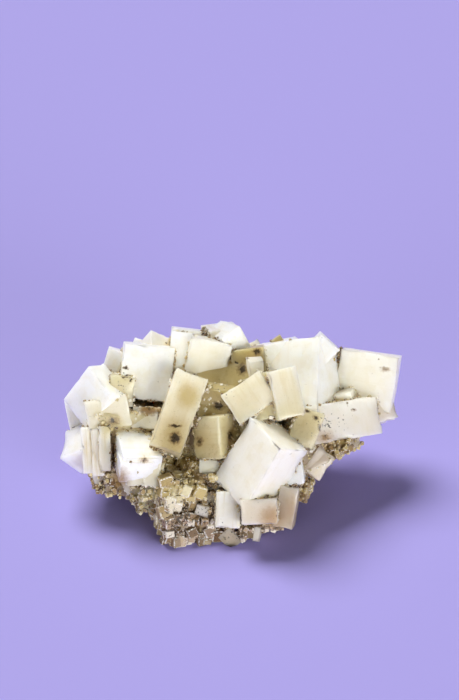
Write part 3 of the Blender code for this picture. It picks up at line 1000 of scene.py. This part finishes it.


# %% [markdown]
# ## Veils, stains and specks
#
# Some crystals hold dark inclusions, and mud lies in patches on others. Each is an oval at a
# place that is measured across and up as the cluster is seen from the front and 35 degrees above,
# in millimetres from the middle of the lump's front edge. A row gives that place, the oval's half
# width and half height, and its strength. Stains are ragged mud, veils are soft clouds of one
# tint, and specks are small dots that gather in a region. One stain and one veil are painted shade
# instead, dark brown in the hollow below the upper left crystal. Veils and stains lie only on
# faces that look to the front, so that they don't come through at the back.

# %% Where the stains are
STAINS = {
    "brown spot on the right": (32.4, 38.5, 2.6, 2.2, 0.5),
    "line of mud on the right, top": (26.1, 47.6, 1.6, 0.9, 0.8),
    "line of mud on the right, middle": (28.9, 45.2, 1.5, 1.5, 0.85),
    "line of mud on the right, foot": (30.3, 42.0, 0.8, 2.4, 0.85),
    "first dot under the top crystal": (1.6, 64.4, 0.9, 0.7, 0.9),
    "second dot under the top crystal": (5.4, 65.8, 0.9, 0.7, 0.9),
    "upper line of mud on the left": (-36.9, 62.5, 1.8, 0.7, 0.9),
    "lower line of mud on the left": (-36.6, 59.5, 2.4, 0.8, 0.9),
    "side line of mud on the left": (-34.8, 58.1, 0.7, 1.4, 0.9),
    # Painted shade: dark brown and mud colour painted into the hollow below the upper left
    # crystal.
    "painted shade in the gap under the upper left crystal": (-28.4, 49.4, 3.4, 2.2, 1.0),
    "streak in the tall crystal": (-19.4, 42.5, 3.2, 1.0, 0.95),
    "inclusion in the tall crystal": (-19.4, 38.4, 3.0, 3.2, 1.0),
    "inclusion in the central cube, left": (-11.0, 37.1, 1.7, 2.6, 0.75),
    "inclusion in the central cube, right": (-0.5, 39.2, 1.5, 3.4, 0.85),
    "olive spot on the terraced crystal": (-29.9, 30.8, 2.0, 1.9, 0.6),
    "tan spot on the far crystal": (53.7, 61.9, 2.8, 1.7, 0.55),
    "dot on the far crystal": (51.6, 65.4, 0.6, 0.5, 0.7),
    "line of mud below the far crystal": (40.2, 50.0, 0.8, 0.8, 0.8),
    "line of mud below the far crystal, end": (42.4, 48.0, 1.6, 0.8, 0.75),
    "slit in the brown foot crystal": (15.8, 13.0, 0.6, 2.6, 1.0),
    "slit in the left tip": (-45.1, 22.0, 0.8, 2.2, 1.0),
    "mud in the middle recess": (-4.4, 49.3, 3.2, 2.2, 1.0),
    "mud under the top crystals": (8.9, 68.2, 2.4, 2.2, 0.8),
    "mud beside the small crystal": (3.7, 62.0, 2.8, 3.2, 0.8),
    "mud by the brown gap on the left": (-41.0, 44.0, 3.4, 2.4, 0.7),
}
VEILS = {
    "spot on the tall crystal": (-15.0, 52.5, 5.5, 6.0, 1.0, "honey"),
    "cloud in the tall crystal": (-19.4, 38.5, 9.0, 12.0, 0.75, "amber"),
    "cloud in the central cube, left": (-10.5, 37.5, 5.0, 6.0, 0.6, "honey"),
    "cloud in the central cube, right": (0.0, 40.0, 6.0, 6.0, 0.6, "honey"),
    "brown end of the brown foot crystal": (14.0, 11.0, 6.5, 7.0, 1.0, "rust"),
    "brown side of the right foot crystal": (20.5, 14.0, 5.0, 8.0, 0.5, "rust"),
    "stain on the right": (32.5, 38.0, 6.0, 4.5, 0.7, "rust"),
    "olive part of the left recess": (-41.0, 42.5, 6.0, 6.0, 0.9, "honey"),
    "brown part of the left recess": (-39.0, 24.0, 5.5, 7.0, 1.0, "tea"),
    # Painted shade: a tea brown veil painted into the hollow below the upper left crystal.
    "painted shade in the gap under the upper left crystal": (-28.4, 48.6, 5.5, 3.6, 1.4, "tea"),
    "middle of the terraced crystal": (-30.0, 31.5, 4.0, 3.5, 0.5, "honey"),
    "root of the right crystals": (24.5, 43.5, 6.0, 7.0, 0.5, "amber"),
}
SPECKLED = {
    "strip beside the upper left crystal": (-37.6, 57.7, 4.6, 9.0, 1.0),
    "face of the spotted crystal": (-9.3, 24.0, 4.5, 5.0, 1.3),
    "foot crystals": (-3.0, 5.0, 9.0, 7.0, 1.2),
    "left crust": (-44.0, 42.0, 9.0, 6.0, 0.7),
    "middle recess": (-3.0, 55.0, 8.0, 7.0, 0.7),
    "lower crust": (-17.0, 10.0, 17.0, 13.0, 1.5),
    "right crust": (33.0, 43.0, 14.0, 9.0, 0.8),
}


def oval(tree, place, across, up, wide, high, strength):
    """1 times the strength in the oval's middle, falling evenly to 0 at its rim."""
    values = {0: place, 1: (1 / wide, 1 / high, 0.0), 2: (-across / wide, -up / high, 0.0)}
    near = add(tree, "ShaderNodeVectorMath", values, operation="MULTIPLY_ADD").outputs[0]
    length = add(tree, "ShaderNodeVectorMath", {0: near}, operation="LENGTH").outputs["Value"]
    values = {"Value": length, "From Min": 1.0, "From Max": 0.0, "To Max": strength}
    return add(tree, "ShaderNodeMapRange", values).outputs["Result"]


def ovals(tree, place, rows):
    """The largest of the ovals' masks."""
    found = 0.0
    for row in rows.values():
        found = larger(tree, oval(tree, place, *row), found)
    return found


def front_place(tree):
    """The point's place across and up as seen from the front, in mm."""
    place = add(tree, "ShaderNodeTexCoord").outputs["Object"]
    shift = (MIDDLE - np.array([0, LUMP_FRONT, 0])) * MM
    moved = add(tree, "ShaderNodeVectorMath", {0: place, 1: tuple(shift)}, operation="ADD")
    up = (0.0, math.sin(VIEW_DOWN) / MM, math.cos(VIEW_DOWN) / MM)
    rise = add(tree, "ShaderNodeVectorMath", {0: moved.outputs[0], 1: up}, operation="DOT_PRODUCT")
    across = add(tree, "ShaderNodeSeparateXYZ", {0: moved.outputs[0]}).outputs["X"]
    across = product(tree, across, 1 / MM)
    return add(tree, "ShaderNodeCombineXYZ", {0: across, 1: rise.outputs["Value"]}).outputs[0]


# %% [markdown]
# The colour is built up in three steps. The first is the salt itself. Its patterns follow each
# crystal's own axes, so that streaks and square patches turn with it.

# %% Clouds, patches and streaks
# How many of each pattern's spots fit in a millimetre.
CLOUDS, MOTTLES, GRAINS, PATCHES, DOTS = 0.2, 0.5, 1.7, 0.26, 1.05
STREAK_SCALE = (0.6, 0.6, 0.05)


def patterns(tree, own):
    """The noise of the grain, the noise stretched along the third axis for streaks, and a random
    value in each of the square cells."""
    grain = noise(tree, own, GRAINS, 5.0, 0.65)
    stretch = add(tree, "ShaderNodeVectorMath", {0: own, 1: STREAK_SCALE}, operation="MULTIPLY")
    streak = noise(tree, stretch.outputs[0], 1.0, 3.0)
    settings = {"Vector": own, "Scale": PATCHES}
    cells = add(tree, "ShaderNodeTexVoronoi", settings, distance="CHEBYCHEV")
    patch = add(tree, "ShaderNodeSeparateColor", {0: cells.outputs["Color"]})
    return grain, streak, patch.outputs["Red"]


def salt_colour(tree, own, streak, patch, blue):
    """The tint with faint patches and clouds, amber mottles where it is low in blue, and honey
    streaks on the streaky crystals."""
    colour = attribute(tree, "tint", "Color")
    colour = blend(tree, ease(tree, patch, 0.3, 1.0, 0.08), colour, plain("honey"))
    cloud = noise(tree, own, CLOUDS, 4.0)
    colour = blend(tree, ease(tree, cloud, 0.45, 0.8, 0.3), colour, plain("sand"))
    mottle = noise(tree, own, MOTTLES, 6.0, 0.7)
    mottle = product(tree, ease(tree, mottle, 0.5, 0.68, 0.45), ease(tree, blue, 0.6, 0.3))
    colour = blend(tree, mottle, colour, plain("amber"))
    streaks = product(tree, ease(tree, streak, 0.48, 0.7, 0.55), attribute(tree, "streaky"))
    return blend(tree, streaks, colour, plain("honey"))


# %% Painted shade and clay in the gaps, painted highlights on the edges
# The near black brown of the painted shade in the deepest gaps.
PAINTED_SHADE_DARK = (*linear(96, 66, 30), 1.0)


def gaps_and_edges(tree, colour, grain, shade_and_clay_tint, gap_start, grit, rim):
    """Painted shade and clay: the colour goes to the gap's tint and on to dark brown as a place
    lies deeper, unevenly by the grain times the grit. Painted highlight: it goes to snow along the
    edges."""
    gap = sum_of(tree, attribute(tree, "deep"), sum_of(tree, -0.5, grain), grit)
    brown = ease(tree, gap, gap_start, gap_start + 0.45, 0.85)
    colour = blend(tree, brown, colour, plain(shade_and_clay_tint))
    # Deeper still, the painted shade goes nearly black.
    painted_shade_darkest = ease(tree, gap, gap_start + 0.3, gap_start + 0.62, 0.9)
    colour = blend(tree, painted_shade_darkest, colour, PAINTED_SHADE_DARK)
    # A painted highlight: snow along the edges.
    painted_highlight = product(tree, attribute(tree, "edge"), ease(tree, grain, 0.4, 0.62, rim))
    return blend(tree, painted_highlight, colour, plain("snow"))


# %% Mud
MUD = (*linear(44, 32, 20), 1.0)
BEND = 2.4


def muddy(tree, colour, own):
    """The colour with its veils, stains and specks. Ovals are bent by up to half of BEND, in mm,
    and a stain's mask has noise added before it is cut into a brown rim and a dark middle."""
    place = front_place(tree)
    bend = add(tree, "ShaderNodeTexNoise", {"Vector": place, "Scale": 0.9, "Detail": 5.0})
    values = {0: bend.outputs["Color"], 1: (BEND, BEND, 0.0), 2: place}
    bent = add(tree, "ShaderNodeVectorMath", values, operation="MULTIPLY_ADD").outputs[0]
    values = {0: bent, 1: (-BEND / 2, -BEND / 2, 0.0)}
    bent = add(tree, "ShaderNodeVectorMath", values, operation="ADD").outputs[0]
    front = attribute(tree, "front")
    for *shape, veil in VEILS.values():
        mask = product(tree, oval(tree, bent, *shape), front)
        colour = blend(tree, ease(tree, mask, 0.0, 0.8, 0.9), colour, plain(veil))
    stain = product(tree, ovals(tree, bent, STAINS), front)
    stain = sum_of(tree, stain, sum_of(tree, -0.5, noise(tree, place, 1.3, 6.0, 0.75)), 0.9)
    colour = blend(tree, ease(tree, stain, 0.1, 0.42, 0.65), colour, plain("tea"))
    colour = blend(tree, ease(tree, stain, 0.4, 0.62, 0.9), colour, MUD)
    speck = sum_of(tree, noise(tree, own, DOTS, 3.0, 0.6), ovals(tree, place, SPECKLED), 0.16)
    speck = sum_of(tree, speck, attribute(tree, "deep"), 0.06)
    return blend(tree, ease(tree, speck, 0.72, 0.78, 0.85), colour, MUD)


# %% The salt finish
RELIEF_DEPTH = 0.0003
REACH_OF_LIGHT = 0.008
RED_GREEN_BLUE_REACH = (1.0, 0.93, 0.8)


def salt(name, haze, clear, rough, gap, bump):
    """A finish for salt. The haze is its subsurface share, clear its transmission share where it
    is honey coloured, rough its roughness, gap the values for the painted shade and clay in its
    gaps and for the painted highlight on its edges, and bump the strength of its fine relief."""
    material = bpy.data.materials.new(name)
    material.use_nodes = True
    tree = material.node_tree
    shader = tree.nodes["Principled BSDF"]
    own = attribute(tree, "own", "Vector")
    tint = attribute(tree, "tint", "Color")
    blue = add(tree, "ShaderNodeSeparateColor", {0: tint}).outputs["Blue"]
    grain, streak, patch = patterns(tree, own)
    colour = salt_colour(tree, own, streak, patch, blue)
    colour = gaps_and_edges(tree, colour, grain, *gap)
    tree.links.new(muddy(tree, colour, own), shader.inputs["Base Color"])
    dull = sum_of(tree, sum_of(tree, rough, grain, 0.2), attribute(tree, "deep"), 0.25)
    tree.links.new(dull, shader.inputs["Roughness"])
    lift = sum_of(tree, sum_of(tree, product(tree, streak, 0.4), patch, 0.5), grain, 0.4)
    values = {"Height": lift, "Strength": bump, "Distance": RELIEF_DEPTH}
    ridges = add(tree, "ShaderNodeBump", values)
    tree.links.new(ridges.outputs[0], shader.inputs["Normal"])
    shader.inputs["Subsurface Weight"].default_value = haze
    shader.inputs["Subsurface Radius"].default_value = RED_GREEN_BLUE_REACH
    shader.inputs["Subsurface Scale"].default_value = REACH_OF_LIGHT
    shader.inputs["IOR"].default_value = SALT_IOR
    if clear:
        see_through = ease(tree, blue, 0.8, 0.2, clear)
        tree.links.new(see_through, shader.inputs["Transmission Weight"])
    print(name, len(tree.nodes), "nodes")
    return material


# The values in brackets are the tint of the painted shade and clay in the gaps, where it starts,
# its grit, and the strength of the painted highlight on the edges.
milky = salt("milky_salt", 0.85, 0.2, 0.2, ("honey", 0.38, 0.35, 0.15), 0.3)
crust = salt("salt_crust", 0.0, 0.0, 0.4, ("tea", 0.26, 1.2, 0.9), 0.8)
for key, piece in pieces.items():
    piece.data.materials.append(milky if key == "crystals" else crust)
    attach(piece, "root")
    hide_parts(NODE)

# %% [markdown]
# ## Floor, lights and camera
#
# The floor is plain and pale. The main light is a broad sun from the upper left and behind, which
# throws the soft shadow to the right and forward. Two low suns in front, the stronger one on the
# right, keep the faces bright that look at the viewer and hardly touch the floor. The sky is dim,
# so that the shadow stays dark under the lump.

# %% The floor
FLOOR_SIZE = 6.0
half_floor = FLOOR_SIZE / 2
corners = [(-half_floor, -half_floor, 0), (half_floor, -half_floor, 0)]
corners += [(half_floor, half_floor, 0), (-half_floor, half_floor, 0)]
floor_mesh = bpy.data.meshes.new("floor")
floor_mesh.from_pydata(corners, [], [(0, 1, 2, 3)])
floor = bpy.data.objects.new("floor", floor_mesh)
bpy.context.scene.collection.objects.link(floor)
paper = bpy.data.materials.new("paper")
paper.use_nodes = True
paper_shader = paper.node_tree.nodes["Principled BSDF"]
paper_shader.inputs["Base Color"].default_value = (*linear(166, 157, 226), 1)
paper_shader.inputs["Roughness"].default_value = 0.9
paper_shader.inputs["Specular IOR Level"].default_value = 0.1
floor_mesh.materials.append(paper)

# %% Lights
LIGHT_TARGET = (0.0, 0.0, 0.03)
# The place that each sun shines from, its strength, its colour and its spread in degrees.
SUNS = {
    "main_light": ((-0.34, 0.5, 1.0), 3.5, (1.0, 0.995, 0.95), 32),
    "front_fill_left": ((-0.75, -1.0, 0.03), 2.2, (0.99, 1.0, 0.93), 40),
    "front_fill_right": ((0.75, -1.0, 0.03), 4.6, (0.99, 1.0, 0.93), 40),
}
SKY_COLOUR = (1.0, 0.99, 0.97, 1.0)
SKY_STRENGTH = 0.035


def aim(thing, place, target):
    """Put a light or camera at a place with its -Z axis towards the target."""
    direction = np.array(target) - np.array(place)
    tip = math.atan2(math.hypot(direction[0], direction[1]), -direction[2])
    thing.location = place
    thing.rotation_euler = (tip, 0.0, math.atan2(-direction[0], direction[1]))


for name, (place, strength, colour, spread) in SUNS.items():
    sun = bpy.data.objects.new(name, bpy.data.lights.new(name, "SUN"))
    sun.data.energy = strength
    sun.data.color = colour
    sun.data.angle = math.radians(spread)
    aim(sun, place, LIGHT_TARGET)
    bpy.context.scene.collection.objects.link(sun)

world = bpy.data.worlds.new("studio")
bpy.context.scene.world = world
world.use_nodes = True
sky = world.node_tree.nodes["Background"]
sky.inputs["Color"].default_value = SKY_COLOUR
sky.inputs["Strength"].default_value = SKY_STRENGTH

# %% Camera
CAMERA_DISTANCE = 1.2
LONG_SIDE = 0.245
AIM_ACROSS = -0.0007
AIM_UP = 0.0686
SENSOR = 36.0
MID_HEIGHT = 0.02
camera = bpy.data.objects.new("camera", bpy.data.cameras.new("camera"))
bpy.context.scene.collection.objects.link(camera)
camera.data.sensor_fit = "AUTO"
camera.data.sensor_width = SENSOR
camera.data.lens = SENSOR * CAMERA_DISTANCE / LONG_SIDE
camera.data.clip_start = 0.05
up = np.array([0.0, math.sin(VIEW_DOWN), math.cos(VIEW_DOWN)])
front_edge = (np.array([0.0, LUMP_FRONT, 0.0]) - MIDDLE) * MM
target = front_edge + np.array([AIM_ACROSS, 0.0, 0.0]) + up * AIM_UP
# Slide the target along the view until it is beside the middle of the cluster.
target = target + TOWARD * ((np.array([0.0, 0.0, MID_HEIGHT]) - target) @ TOWARD)
aim(camera, target + TOWARD * CAMERA_DISTANCE, target)
bpy.context.scene.camera = camera
bpy.context.scene.view_settings.view_transform = "Standard"
print("camera at", tuple(camera.location))
